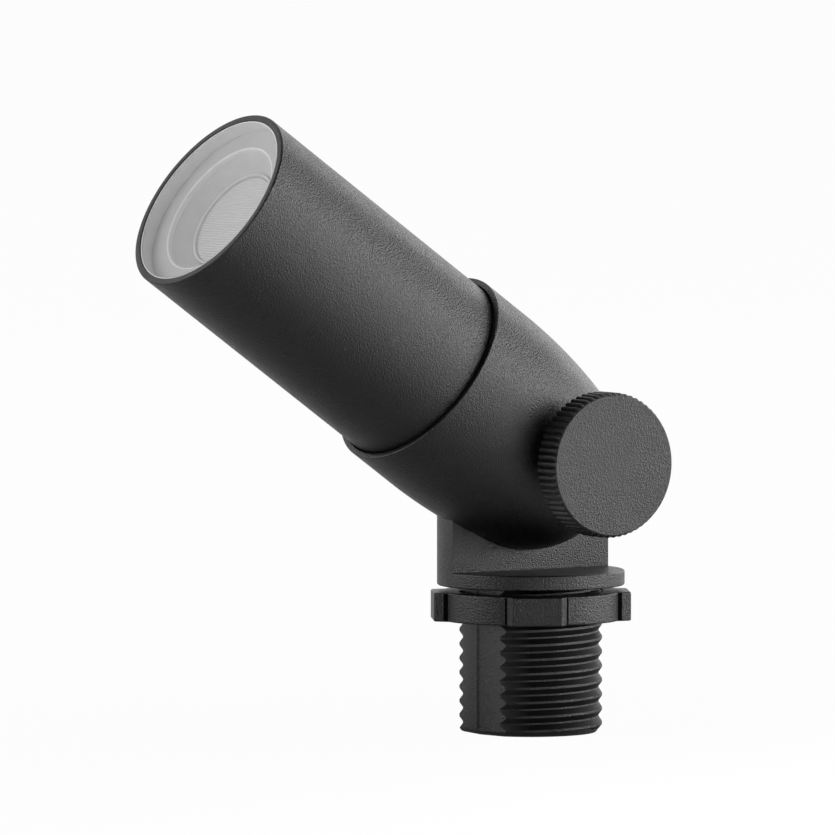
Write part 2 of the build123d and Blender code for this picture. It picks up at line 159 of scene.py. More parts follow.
# Shares of a groove's depth at the columns from one groove to the next
RIDGE_FALL = (1.0, 0.62, 0.16, 0.02, 0.0, 0.02, 0.16, 0.62)

# Block and stem, as heights above the flange's underside
FLANGE_RADIUS = 13.135
FLANGE_TOP = 2.1
DOME_STEPS = 40
STEM_RADIUS = 10.0
STEM_END = -20.7
STEM_TOP = 0.4
STEM_BORE = 6.8
BORE_ROOF = 0.2
# One turn of the thread, as shares of the pitch along from the crest and of the depth below it
THREAD_FORM = (
    (-0.44, 0.99), (-0.41, 0.93), (-0.12, 0.08), (-0.08, 0.01),
    (0.08, 0.01), (0.12, 0.08), (0.41, 0.93), (0.44, 0.99),
)
SPARE_TURNS = 3
THREAD_CREASE = radians(20)
# Range of the upward share of a normal on the thread's flanks
FLANK_SLOPE = (0.3, 0.8)
# Heights of the cuts in the stem's end, as shares of its round
END_CUTS = (0.03, 0.12, 0.28, 0.5, 0.8)
SEAM_STEPS = 24

# Locknut, measured like the stem
NUT_BORE = 10.15
NUT_RADIUS = 12.7
NUT_TOP = -0.84
NUT_BOTTOM = -4.91
NUT_STEPS = 176
# The ring's outer wall is near its radius, and its normal is level within a share.
WALL_SLACK = 0.05
WALL_LEAN = 0.5
LUGS = 4
LUG_REACH = 13.83
LUG_TIP = 7.05
LUG_TURN = radians(59.9)
LUG_STEPS = 20
# The lugs' sides are cut at this distance from the axis, and within it they get painted shade
LUG_ROOT = 12.5
# A lug's side has a normal that is level within the first share and points outwards less than the second.
LUG_SIDE = (0.3, 0.8)

# Finishes
NOISE_SPAN = (0.3, 0.7)
WAVE_SPAN = (-1.0, 1.0)
FULL_SPAN = (0.0, 1.0)
PLASTIC_RELIEF = 0.00001
TOOL_MARKS = 0.000008
TOOL_MARK_STRETCH = (1.0, 0.06, 1.0)
GLASS_COVER = 0.2
ACRYLIC_COVER = 0.85
# Painted light on the thread's flanks: the paler tone they take beside the flats, and the distances from the stem's
# middle over which it comes in
FLANK_PAINTED_LIGHT = (0.028, 0.028, 0.028, 1.0)
FLANK_PAINTED_LIGHT_FADE = (0.0055, 0.0092)
# Painted shade in the lens's valleys and painted light on its ribs, as shares of its colour, and how strong they are
# across it
RIB_LIGHT_AND_SHADE = (0.7, 1.05)
RIB_FADE = (-0.0125, -0.0045)
RIB_STRENGTH = (0.08, 1.0)

# Stage, in metres
FLOOR_LEVEL = -20.72 * MM
FLOOR_RADIUS = 9.0
FLOOR_STEPS = 96
# Painted shade on the floor: its colour is darker by the stem and comes up to its tone between two distances.
FLOOR_FADE = (0.015, 0.16)
FLOOR_TONES = (0.4, 1.0)
# Shares of plain white in the floor, as the camera sees it and as the pieces mirror it
FLOOR_SEEN = 0.97
FLOOR_ECHO = 0.06
LAMP_TARGET = Vector((-0.015, 0, 0.025))
# Lamps by name: direction from the target, distance, width, height and radiance
LAMPS = {
    "right_box": ((0.79, -0.61, 0.08), 1.1, 1.6, 0.9, 4.4),
    "front_box": ((-0.34, -0.94, 0.0), 1.3, 1.4, 0.7, 1.3),
    "left_box": ((-0.84, 0.36, 0.36), 1.0, 0.8, 0.9, 2.1),
    "back_box": ((0.88, 0.42, 0.22), 1.0, 0.5, 0.6, 1.3),
}
PATCH = ((0, 0, 1), 0.4, 0.12, 0.12, 16.0)
PATCH_PLACE = (0.07, -0.2)
PATCH_SPREAD = radians(50)
# The surroundings are brightest towards one direction.
SKY_TOWARDS = (0.2, 0.77, -0.6)
SKY_SPAN = (-0.6, 0.4)
SKY_LEVELS = (0.06, 0.85)
CAMERA_PLACE = (-1.03535, -1.53125, 0.13971)
CAMERA_TURN = (radians(90 - 3.601), 0, radians(-33.573))
SENSOR_WIDTH = 36.0
FOCAL_LENGTH = 570.985
FAR_CLIP = 50.0


def size(name, description, millimetres):
    """Length that a user may change."""
    return bpy.props.FloatProperty(
        name=name, description=description, default=millimetres * MM, unit="LENGTH", precision=5
    )


def colour(name, description, tone):
    """Colour that a user may change."""
    return bpy.props.FloatVectorProperty(
        name=name, description=description, default=tone, subtype="COLOR", size=3, min=0.0, max=1.0
    )


class AccentSizes(bpy.types.PropertyGroup):
    """Small forms that the frame leaves to the looks."""

    rim_round: size("Rim round", "Round on the outer edge of the tube's rim", 0.25)
    rim_inner_round: size("Rim inner round", "Round on the inner edge of the tube's rim", 0.12)
    collar_round: size("Collar round", "Round on the lip of the rear housing", 0.2)
    notch_round: size("Notch round", "Round on the edges of the housing's flat", 0.15)
    glass_bevel: size("Glass bevel", "Bevel on the front edge of the window", 0.25)
    rib_pitch: size("Rib pitch", "Distance between the ribs on the lens", 0.4)
    rib_depth: size("Rib depth", "Depth of the valleys between the ribs", 0.11)
    ridge_count: bpy.props.IntProperty(
        name="Ridge count", description="Ridges round the knob", default=64, min=12, max=120
    )
    ridge_depth: size("Ridge depth", "Depth of the grooves between the knob's ridges", 0.35)
    knob_round: size("Knob round", "Round on the edge of the knob's face", 0.12)
    flange_round: size("Flange round", "Round on the flange's edges", 0.25)
    block_round: size("Block round", "Round on the edge of the block's flat", 0.25)
    thread_pitch: size("Thread pitch", "Rise of the stem's thread in one turn", 2.0)
    thread_depth: size("Thread depth", "Crest to root of the stem's thread", 0.5)
    thread_phase: size("Thread phase", "Height of a crest on the +X side", 0.86)
    facet_ridge: size("Facet ridge", "Distance of the mould seam from the stem's axis", 9.1)
    facet_draft: bpy.props.FloatProperty(
        name="Facet draft", description="Lean of the flats on both sides of the mould seam",
        default=radians(9.4), subtype="ANGLE",
    )
    seam_width: size("Seam width", "Width of the rib that the mould leaves on the stem", 0.5)
    seam_height: size("Seam height", "Height of the rib that the mould leaves on the stem", 0.15)
    stem_round: size("Stem round", "Round on the stem's end", 0.8)
    nut_round: size("Nut round", "Round on the locknut's edges", 0.25)
    grain_size: size("Grain size", "Size of the bumps in the coat's grain", 0.22)
    grain_depth: size("Grain depth", "Height of the bumps in the coat's grain", 0.1)


class AccentFinishes(bpy.types.PropertyGroup):
    """Colours of the finishes that show."""

    coat: colour("Coat", "Powder coat on the tube and the housing", (0.003, 0.003, 0.0032))
    moulding: colour("Moulding", "Black plastic of the knob, the base and the nut", (0.003, 0.003, 0.0032))
    glass: colour("Glass", "Haze of the window", (0.9, 0.9, 0.9))
    border: colour("Border", "Print round the window's edge", (0.55, 0.55, 0.55))
    silicone: colour("Silicone", "Pale gasket under the window", (0.96, 0.96, 0.96))
    reflector: colour("Reflector", "Grey of the reflector cup", (0.63, 0.63, 0.63))
    holder: colour("Holder", "Ring round the lens", (0.66, 0.66, 0.66))
    acrylic: colour("Acrylic", "Clear plastic of the lens", (0.95, 0.95, 0.95))
    floor: colour("Floor", "Pale floor of the stage", (0.75, 0.75, 0.75))


def placement(x_axis, y_axis, z_axis, origin):
    """Matrix from a piece's own frame, in millimetres, to the part's frame, in metres."""
    turned = Matrix((x_axis, y_axis, z_axis)).transposed().to_4x4()
    turned.translation = origin
    return Matrix.Scale(MM, 4) @ turned


AIM = Vector((-cos(TILT), 0, sin(TILT)))
SIDE = Vector((0, -1, 0))
ACROSS = AIM.cross(SIDE)
# Direction across the lens in which the painted light and shade of its ribs gain strength
RIB_TOWARDS = SIDE * 0.8 - ACROSS * 0.6
ON_HEAD = placement(SIDE, ACROSS, AIM, PIVOT)
ON_PIVOT = placement(Vector((1, 0, 0)), Vector((0, 0, 1)), SIDE, PIVOT)
ON_STEM = Matrix.Scale(MM, 4)


def mm(length):
    """Millimetres of a length that is kept in metres."""
    return length / MM


def only(kind, items):
    """The vertices or the edges among mixed geometry."""
    return [item for item in items if isinstance(item, kind)]


def everything(bm):
    """All the geometry, as the cutting operators want it."""
    return bm.verts[:] + bm.edges[:] + bm.faces[:]


def with_borders(faces):
    """Faces with their edges and vertices, as the cutting operators want them."""
    edges = dict.fromkeys(edge for face in faces for edge in face.edges)
    verts = dict.fromkeys(vert for face in faces for vert in face.verts)
    return faces + list(edges) + list(verts)


def wire(bm, points, rounds=None, closed=False, segments=4):
    """Outline in the XZ plane through (across, along) points, with the corners named in rounds rounded off."""
    corners = [bm.verts.new((across, 0, along)) for across, along in points]
    pairs = list(zip(corners, corners[1:]))
    if closed:
        pairs.append((corners[-1], corners[0]))
    for pair in pairs:
        bm.edges.new(pair)
    for index, offset in (rounds or {}).items():
        bmesh.ops.bevel(
            bm, geom=[corners[index]], offset=offset, offset_type="OFFSET", affect="VERTICES",
            segments=segments, profile=0.5, material=-1,
        )


def swing(bm, vert, centre, angle, steps):
    """Arc in the XZ plane that carries an outline on from one of its vertices to a new last one."""
    turned = bmesh.ops.spin(
        bm, geom=[vert], cent=(centre[0], 0, centre[1]), axis=(0, 1, 0), angle=angle, steps=steps
    )
    return only(BMVert, turned["geom_last"])[0]


def clean(bm):
    """Merges what touches, closes the poles and turns the faces outwards."""
    bmesh.ops.remove_doubles(bm, verts=bm.verts, dist=WELD)
    bmesh.ops.dissolve_degenerate(bm, edges=bm.edges, dist=CUT)
    bmesh.ops.recalc_face_normals(bm, faces=bm.faces)


def lathe(bm, steps=TURN_STEPS):
    """Turns the outline all the way about Z."""
    bmesh.ops.spin(
        bm, geom=bm.verts[:] + bm.edges[:], cent=(0, 0, 0), axis=(0, 0, 1), angle=2 * pi, steps=steps,
        use_merge=True,
    )
    clean(bm)


def half_turn(bm, angle):
    """Turns the outline half-way about Z and leaves it open."""
    bmesh.ops.spin(
        bm, geom=everything(bm), cent=(0, 0, 0), axis=(0, 0, 1), angle=angle, steps=TURN_STEPS // 2
    )


def turned_shape(points, rounds=None, closed=True, steps=TURN_STEPS, segments=4):
    """Lathed solid from one outline."""
    bm = bmesh.new()
    wire(bm, points, rounds, closed, segments)
    lathe(bm, steps)
    return bm


def slice_off(bm, point, normal):
    """Cuts away what lies beyond a plane and closes the cut."""
    cut = bmesh.ops.bisect_plane(
        bm, geom=everything(bm), dist=CUT, plane_co=point, plane_no=normal, clear_outer=True
    )
    bmesh.ops.edgeloop_fill(bm, edges=only(BMEdge, cut["geom_cut"]))


def score(bm, geom, point, normal):
    """Cuts edges along a plane and keeps both sides."""
    bmesh.ops.bisect_plane(bm, geom=geom, dist=CUT, plane_co=point, plane_no=normal)


def soften(bm, edges, offset, segments=3):
    """Rounds off edges."""
    bmesh.ops.bevel(
        bm, geom=edges, offset=offset, offset_type="OFFSET", affect="EDGES", segments=segments,
        profile=0.5, material=-1, clamp_overlap=True,
    )


def is_sharp(edge):
    """Whether two faces meet at an outer corner."""
    return edge.is_manifold and edge.calc_face_angle_signed() > SHARP


def shape_object(bm, name, place):
    """Mesh object at the origin, with its place in its mesh."""
    clean(bm)
    bmesh.ops.transform(bm, matrix=place, verts=bm.verts)
    mesh = bpy.data.meshes.new(name)
    bm.to_mesh(mesh)
    bm.free()
    made = bpy.data.objects.new(name, mesh)
    bpy.context.scene.collection.objects.link(made)
    return made


def combine(bm, tool, operation):
    """Joins or cuts one closed shape with another, both in the same frame, and drops the two."""
    target = shape_object(bm, "target", Matrix())
    cutter = shape_object(tool, "tool", Matrix())
    modifier = target.modifiers.new("combine", "BOOLEAN")
    modifier.object = cutter
    modifier.operation = operation
    modifier.solver = "EXACT"
    bpy.context.view_layer.update()
    evaluated = target.evaluated_get(bpy.context.evaluated_depsgraph_get())
    made = bmesh.new()
    made.from_mesh(evaluated.to_mesh())
    evaluated.to_mesh_clear()
    for item in (target, cutter):
        mesh = item.data
        bpy.data.objects.remove(item)
        bpy.data.meshes.remove(mesh)
    if not made.faces:
        raise RuntimeError(f"nothing is left after {operation}")
    return made


def dress(piece, finish, body, slot, *nodes, crease=CREASE):
    """Finish, smooth shading and place among the bodies of one piece."""
    mesh = piece.data
    mesh.materials.append(finish)
    mesh.polygons.foreach_set("use_smooth", [True] * len(mesh.polygons))
    mesh.set_sharp_from_angle(angle=crease)
    shading = piece.modifiers.new("even shading", "WEIGHTED_NORMAL")
    shading.mode = "FACE_AREA"
    shading.keep_sharp = True
    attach(piece, body)
    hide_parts(*nodes)


def shade(piece, finish, test):
    """Second finish on the faces that a test picks."""
    piece.data.materials.append(finish)
    for face in piece.data.polygons:
        if test(face):
            face.material_index = 1


def finish_named(name):
    """New material with its tree and its main shader."""
    material = bpy.data.materials.new(name)
    material.use_nodes = True
    return material, material.node_tree, material.node_tree.nodes["Principled BSDF"]


def add(tree, kind, sockets=None, **settings):
    """Node of a kind, with its settings and the values of its sockets."""
    made = tree.nodes.new("ShaderNode" + kind)
    for key, value in settings.items():
        setattr(made, key, value)
    for key, value in (sockets or {}).items():
        made.inputs[key].default_value = value
    return made


def calc(tree, operation, *terms, kind="Math"):
    """Number from a math node, whose terms are links or plain values."""
    made = add(tree, kind, operation=operation)
    for socket, term in zip(made.inputs, terms):
        if isinstance(term, bpy.types.NodeSocket):
            tree.links.new(term, socket)
        else:
            socket.default_value = term
    return made.outputs["Value"]


def dot(tree, coords, direction):
    """How far a place lies along a direction."""
    return calc(tree, "DOT_PRODUCT", coords, direction, kind="VectorMath")


def ranged(tree, value, span, ends):
    """Number carried from one span to another and held at its ends."""
    made = add(tree, "MapRange", {"From Min": span[0], "From Max": span[1], "To Min": ends[0], "To Max": ends[1]})
    tree.links.new(value, made.inputs["Value"])
    return made.outputs["Result"]


def blend(tree, share, start, end):
    """Colour that goes from one tone to another."""
    made = add(tree, "Mix", {"A": start, "B": end}, data_type="RGBA")
    tree.links.new(share, made.inputs["Factor"])
    return made.outputs["Result"]


def opaque(tone, share=1.0):
    """A share of a tone, as a node's colour."""
    return tuple(min(1.0, channel * share) for channel in tone) + (1.0,)


def set_sockets(shader, **sockets):
    """Constant values of the main shader; underscores stand for spaces."""
    for key, value in sockets.items():
        shader.inputs[key.replace("_", " ")].default_value = value


def object_coords(tree):
    """The piece's own coordinates, which don't slide when it moves."""
    return add(tree, "TexCoord").outputs["Object"]


def clouds(tree, coords, scale, detail, roughness=0.6):
    """Cloudy noise between 0 and 1."""
    made = add(tree, "TexNoise", {"Scale": scale, "Detail": detail, "Roughness": roughness})
    tree.links.new(coords, made.inputs["Vector"])
    return made.outputs["Fac"]


def speckle(tree, shader, coords, tone, scale, spread):
    """Colour that wanders a little about its tone; gives the noise it follows."""
    noise = clouds(tree, coords, scale, detail=3.0)
    ramp = add(tree, "ValToRGB")
    for element, place, share in zip(ramp.color_ramp.elements, NOISE_SPAN, (1 - spread, 1 + spread)):
        element.position = place
        element.color = opaque(tone, share)
    tree.links.new(noise, ramp.inputs["Fac"])
    tree.links.new(ramp.outputs["Color"], shader.inputs["Base Color"])
    return noise


def mottle(tree, shader, coords, sheen, scale):
    """Roughness that wanders between two values."""
    noise = clouds(tree, coords, scale, detail=4.0)
    tree.links.new(ranged(tree, noise, NOISE_SPAN, sheen), shader.inputs["Roughness"])


def relief(tree, shader, height, distance):
    """Bump from one height."""
    bump = add(tree, "Bump", {"Strength": 1.0, "Distance": distance})
    tree.links.new(height, bump.inputs["Height"])
    tree.links.new(bump.outputs["Normal"], shader.inputs["Normal"])


def grained_black(name, tone, sizes, sheen, grain_share):
    """Fine-textured black: small bumps, a wandering sheen and a faint drift of tone."""
    material, tree, shader = finish_named(name)
    coords = object_coords(tree)
    speckle(tree, shader, coords, tone, scale=260.0, spread=0.16)
    mottle(tree, shader, coords, sheen, scale=420.0)
    grain = clouds(tree, coords, scale=1.0 / sizes.grain_size, detail=1.5, roughness=0.5)
    relief(tree, shader, grain, sizes.grain_depth * grain_share)
    set_sockets(shader, Specular_IOR_Level=0.5, IOR=1.5)
    return material


def plain_plastic(name, tone, sheen, grain, level=0.4):
    """Moulded plastic or rubber with a faint texture."""
    material, tree, shader = finish_named(name)
    coords = object_coords(tree)
    noise = speckle(tree, shader, coords, tone, grain, spread=0.06)
    mottle(tree, shader, coords, sheen, scale=300.0)
    relief(tree, shader, noise, PLASTIC_RELIEF)
    set_sockets(shader, Specular_IOR_Level=level, IOR=1.5)
    return material


def thread_flank(name, tone):
    """Painted shade and light for the thread's flanks: a copy of the black that reflects little, painted paler beside
    the flats.
    """
    material, tree, shader = finish_named(name)
    coords = object_coords(tree)
    from_middle = calc(tree, "ABSOLUTE", dot(tree, coords, (1, 0, 0)))
    # Painted light: the colour turns paler away from the stem's middle, towards the flats
    painted_light = blend(tree, ranged(tree, from_middle, FLANK_PAINTED_LIGHT_FADE, FULL_SPAN), opaque(tone), FLANK_PAINTED_LIGHT)
    tree.links.new(painted_light, shader.inputs["Base Color"])
    mottle(tree, shader, coords, sheen=(0.45, 0.55), scale=900.0)
    # Painted shade: the flanks reflect little, so they stay darker than the rest of the thread
    set_sockets(shader, Specular_IOR_Level=0.12, IOR=1.5)
    return material


def clear_sheet(name, tone, sheen):
    """Hazy clear sheet that lets most of what is behind it through."""
    material, tree, shader = finish_named(name)
    coords = object_coords(tree)
    speckle(tree, shader, coords, tone, scale=60.0, spread=0.03)
    mottle(tree, shader, coords, sheen, scale=150.0)
    set_sockets(shader, Alpha=GLASS_COVER, IOR=1.5, Specular_IOR_Level=0.5)
    return material


def ribbed_acrylic(name, tone, pitch):
    """Clear lens plastic with painted light along its ribs and painted shade between them, most towards the lower side
    by the knob.
    """
    material, tree, shader = finish_named(name)
    coords = object_coords(tree)
    turns = 2 * pi / pitch
    start = pi - turns * MM * ACROSS.dot(PIVOT)
    wave = calc(tree, "COSINE", calc(tree, "MULTIPLY_ADD", dot(tree, coords, ACROSS), turns, start))
    near = ranged(tree, dot(tree, coords, RIB_TOWARDS), RIB_FADE, RIB_STRENGTH)
    crest = ranged(tree, calc(tree, "MULTIPLY", wave, near), WAVE_SPAN, FULL_SPAN)
    # Painted shade in the valleys and painted light on the ribs
    valley, rib = [opaque(tone, share) for share in RIB_LIGHT_AND_SHADE]
    tree.links.new(blend(tree, crest, valley, rib), shader.inputs["Base Color"])
    mottle(tree, shader, coords, sheen=(0.12, 0.2), scale=150.0)
    set_sockets(shader, Alpha=ACRYLIC_COVER, IOR=1.49, Specular_IOR_Level=0.5)
    return material


def turned_metal(name, tone, sheen, grain):
    """Bare metal with fine tool marks, drawn out along the part's depth."""
    material, tree, shader = finish_named(name)
    coords = object_coords(tree)
    stretched = add(tree, "Mapping", {"Scale": TOOL_MARK_STRETCH})
    tree.links.new(coords, stretched.inputs["Vector"])
    noise = speckle(tree, shader, stretched.outputs["Vector"], tone, grain, spread=0.12)
    mottle(tree, shader, coords, sheen, scale=250.0)
    relief(tree, shader, noise, TOOL_MARKS)
    set_sockets(shader, Metallic=1.0)
    return material


def build_tube(sizes, finish):
    """Barrel with the window's seat in front and the seal's groove in its tail."""
    points = [
        (TUBE_BORE, TUBE_TAIL), (TUBE_RADIUS, TUBE_TAIL), (TUBE_RADIUS, GROOVE_BACK),
        (GROOVE_RADIUS, GROOVE_BACK), (GROOVE_RADIUS, GROOVE_FRONT), (TUBE_RADIUS, GROOVE_FRONT),
        (TUBE_RADIUS, RIM), (SEAT_RADIUS, RIM), (SEAT_RADIUS, SEAT_FLOOR), (TUBE_BORE, SEAT_FLOOR),
    ]
    bm = turned_shape(points, {6: mm(sizes.rim_round), 7: mm(sizes.rim_inner_round)})
    piece = shape_object(bm, "tube_barrel", ON_HEAD)
    dress(piece, finish, "head", "coated_metal", "front_tube")


def on_pivot(bm):
    """Carries a shape from the pivot's frame into the head's."""
    bmesh.ops.transform(bm, matrix=ON_HEAD.inverted() @ ON_PIVOT, verts=bm.verts)
    return bm


def disc_tool(radius, start, end, rounded=0.0):
    """Closed cylinder along the pivot, for joining and cutting."""
    rounds = {2: rounded} if rounded else None
    points = [(0, start), (radius, start), (radius, end), (0, end)]
    return on_pivot(turned_shape(points, rounds, closed=False, steps=TOOL_STEPS))


def notch_tool():
    """Room for the block: an arch about the pivot between the two stops of the tilt, open at the back."""
    far = 3 * HOUSING_RADIUS
    lean = TILT_TRAVEL - pi / 2
    bm = bmesh.new()
    start = bm.verts.new((-NOTCH, 0, 0))
    turned = bmesh.ops.spin(
        bm, geom=[start], cent=(0, 0, 0), axis=(0, 0, 1), angle=-(pi - TILT_TRAVEL), steps=NOTCH_STEPS
    )
    end = only(BMVert, turned["geom_last"])[0]
    corners = [
        end, bm.verts.new(end.co + far * Vector((cos(lean), sin(lean), 0))), bm.verts.new((far, -far, 0)),
        bm.verts.new((-NOTCH, -far, 0)), start,
    ]
    for pair in zip(corners, corners[1:]):
        bm.edges.new(pair)
    bmesh.ops.translate(bm, vec=(0, 0, FLAT), verts=bm.verts)
    outline = bmesh.ops.edgeloop_fill(bm, edges=bm.edges[:])["faces"]
    behind = bmesh.ops.extrude_face_region(bm, geom=outline)["geom"]
    bmesh.ops.translate(bm, vec=(0, 0, -far), verts=only(BMVert, behind))
    return on_pivot(bm)


def build_housing(sizes, finish):
    """Bullet with a socket in front, an arch cut out round the block, and a faced boss under the knob."""
    drop = COLLAR_BACK - ROUND_START
    turn = atan2(drop, sqrt(OGIVE_RADIUS**2 - drop**2))
    ball = (HOUSING_RADIUS - OGIVE_RADIUS * (1 - cos(turn))) / cos(turn)
    ball_centre = ROUND_START + ball * sin(turn)
    bm = bmesh.new()
    tail = bm.verts.new((0, 0, ball_centre - ball))
    joint = swing(bm, tail, (0, ball_centre), turn - pi / 2, ROUND_STEPS)
    swing(bm, joint, (HOUSING_RADIUS - OGIVE_RADIUS, COLLAR_BACK), -turn, OGIVE_STEPS)
    points = [
        (HOUSING_RADIUS, COLLAR_BACK), (HOUSING_RADIUS, HOUSING_FRONT), (SOCKET_RADIUS, HOUSING_FRONT),
        (SOCKET_RADIUS, SOCKET_FLOOR), (0, SOCKET_FLOOR),
    ]
    lip = mm(sizes.collar_round)
    wire(bm, points, {1: lip, 2: lip})
    bmesh.ops.remove_doubles(bm, verts=bm.verts, dist=WELD)
    lathe(bm)
    bm = combine(bm, notch_tool(), "DIFFERENCE")
    arris = [
        edge for edge in bm.edges
        if all(vert.co.x < FLAT + WELD and vert.co.z < NOTCH + WELD for vert in edge.verts) and is_sharp(edge)
    ]
    soften(bm, arris, mm(sizes.notch_round), segments=2)
    bm = combine(bm, disc_tool(BOSS_RADIUS + BOSS_MARGIN, BOSS_FACE - BOSS_STEP, PAST_HOUSING), "DIFFERENCE")
    bm = combine(bm, disc_tool(BOSS_RADIUS, BOSS_ROOT, BOSS_FACE, BOSS_ROUND), "UNION")
    channel = turned_shape([
        (CHANNEL_BORE, PAST_FLAT), (CHANNEL_RADIUS, PAST_FLAT), (CHANNEL_RADIUS, CHANNEL_FLOOR),
        (CHANNEL_BORE, CHANNEL_FLOOR),
    ])
    bm = combine(bm, on_pivot(channel), "DIFFERENCE")
    bm = combine(bm, disc_tool(BUSH_BORE, PAST_FLAT, PAST_BOSS), "DIFFERENCE")
    piece = shape_object(bm, "housing_shell", ON_HEAD)
    dress(piece, finish, "head", "coated_metal", "rear_housing")


def build_window(sizes, finishes):
    """Window, border, gasket, reflector, lens ring and ribbed lens behind the rim."""
    bevel = mm(sizes.glass_bevel)
    glass = turned_shape(
        [(0, GLASS_BACK), (GLASS_RADIUS, GLASS_BACK), (GLASS_RADIUS, GLASS_FRONT), (0, GLASS_FRONT)],
        {1: bevel / 2, 2: bevel}, closed=False, segments=2,
    )
    finish = clear_sheet("hazy_glass", finishes.glass, sheen=(0.05, 0.11))
    dress(shape_object(glass, "window_pane", ON_HEAD), finish, "head", "window_glass", "front_glass")

    border = turned_shape([
        (BORDER_BORE, BORDER_BACK), (BORDER_RADIUS, BORDER_BACK), (BORDER_RADIUS, BORDER_FRONT),
        (BORDER_BORE, BORDER_FRONT),
    ])
    finish = plain_plastic("printed_border", finishes.border, sheen=(0.4, 0.5), grain=800.0)
    dress(shape_object(border, "window_border", ON_HEAD), finish, "head", "reflector_grey", "front_glass")

    gasket = turned_shape(
        [
            (GASKET_BORE, SEAT_FLOOR), (UPSTAND_RADIUS, SEAT_FLOOR), (UPSTAND_RADIUS, UPSTAND_TOP),
            (UPSTAND_BORE, UPSTAND_TOP), (UPSTAND_BORE, GASKET_TOP), (GASKET_BORE, GASKET_TOP),
        ],
        {5: GASKET_ROUND},
    )
    finish = plain_plastic("pale_gasket", finishes.silicone, sheen=(0.5, 0.62), grain=700.0)
    dress(shape_object(gasket, "window_gasket", ON_HEAD), finish, "head", "pale_silicone", "glass_gasket")

    cup = turned_shape(
        [
            (CUP_BORE, LED_PLANE), (LINER_RADIUS, LED_PLANE), (LINER_RADIUS, SEAT_FLOOR),
            (LIP_RADIUS, SEAT_FLOOR), (CUP_BORE, CONE_FOOT),
        ],
        {3: LIP_ROUND, 4: FOOT_ROUND},
    )
    finish = plain_plastic("reflector_plastic", finishes.reflector, sheen=(0.38, 0.5), grain=500.0)
    dress(shape_object(cup, "reflector_bowl", ON_HEAD), finish, "head", "reflector_grey", "reflector_cup")

    ring = turned_shape(
        [
            (HOLDER_THROAT, LED_PLANE), (HOLDER_RADIUS, LED_PLANE), (HOLDER_RADIUS, HOLDER_TOP),
            (HOLDER_BORE, HOLDER_TOP), (HOLDER_BORE, LENS_SHOULDER), (HOLDER_LEDGE, LENS_SHOULDER),
            (HOLDER_THROAT, LENS_BACK),
        ],
        {2: HOLDER_ROUND, 3: HOLDER_ROUND},
    )
    finish = plain_plastic("ring_plastic", finishes.holder, sheen=(0.4, 0.5), grain=600.0)
    dress(shape_object(ring, "lens_ring", ON_HEAD), finish, "head", "lens_ring", "lens_holder")

    lens = ribbed_lens(mm(sizes.rib_pitch), mm(sizes.rib_depth))
    finish = ribbed_acrylic("lens_acrylic", finishes.acrylic, sizes.rib_pitch)
    piece = shape_object(lens, "ribbed_lens", ON_HEAD)
    dress(piece, finish, "head", "clear_acrylic", "tir_lens", crease=RIB_CREASE)


def ribbed_lens(pitch, depth):
    """Cone with a pocket for the light source, and straight ribs across its face."""
    bm = bmesh.new()
    wire(bm, [
        (0, POCKET_FLOOR), (POCKET_RADIUS, POCKET_FLOOR), (POCKET_RADIUS, LENS_BACK), (LENS_FOOT, LENS_BACK),
        (LENS_CONE, LENS_SHOULDER), (LENS_RADIUS, LENS_SHOULDER), (LENS_RADIUS, LENS_FACE),
    ])
    lathe(bm)
    bmesh.ops.edgeloop_fill(bm, edges=[edge for edge in bm.edges if edge.is_boundary])
    half = pitch / 2
    lines = int(LENS_RADIUS / half)
    for line in range(-lines, lines + 1):
        front = [face for face in bm.faces if min(vert.co.z for vert in face.verts) > LENS_FACE - WELD]
        score(bm, with_borders(front), (0, line * half, 0), (0, 1, 0))
    for vert in bm.verts:
        if vert.co.z > LENS_FACE - WELD:
            vert.co.z -= depth * 2 * abs((vert.co.y / pitch) % 1 - 0.5)
    return bm


def build_knob(sizes, finish):
    """Knob with straight ridges that run out in its bevel, a hub and a cored back."""
    depth = mm(sizes.ridge_depth)
    valley = KNOB_RADIUS - depth
    runout = BEVEL_START + depth * (KNOB_FACE - BEVEL_START) / (KNOB_RADIUS - KNOB_FACE_RADIUS)
    points = [
        (0, STUD_HEAD_FRONT), (STUD_HEAD_RADIUS, STUD_HEAD_FRONT), (STUD_HEAD_RADIUS, STUD_HEAD_BACK),
        (STUD_BORE, STUD_HEAD_BACK), (STUD_BORE, HUB_FACE), (HUB_RADIUS, HUB_FACE), (HUB_RADIUS, KNOB_BACK),
        (CORE_BORE, KNOB_BACK), (CORE_BORE, KNOB_BACK + CORE_DEPTH),
        (CORE_RADIUS, KNOB_BACK + CORE_DEPTH), (CORE_RADIUS, KNOB_BACK),
        (valley, KNOB_BACK), (KNOB_RADIUS, KNOB_BACK), (KNOB_RADIUS, BEVEL_START), (valley, runout),
        (KNOB_FACE_RADIUS, KNOB_FACE), (0, KNOB_FACE),
    ]
    bm = bmesh.new()
    wire(bm, points, {15: mm(sizes.knob_round)})
    columns = sizes.ridge_count * len(RIDGE_FALL)
    lathe(bm, columns)
    for vert in bm.verts:
        if vert.co.xy.length > KNOB_RADIUS - WELD:
            place = round(atan2(vert.co.y, vert.co.x) / (2 * pi) * columns) % len(RIDGE_FALL)
            vert.co.xy *= 1 - depth * RIDGE_FALL[place] / KNOB_RADIUS
    piece = shape_object(bm, "ridged_knob", ON_PIVOT)
    dress(piece, finish, "knob", "moulded_black", "thumb_knob")


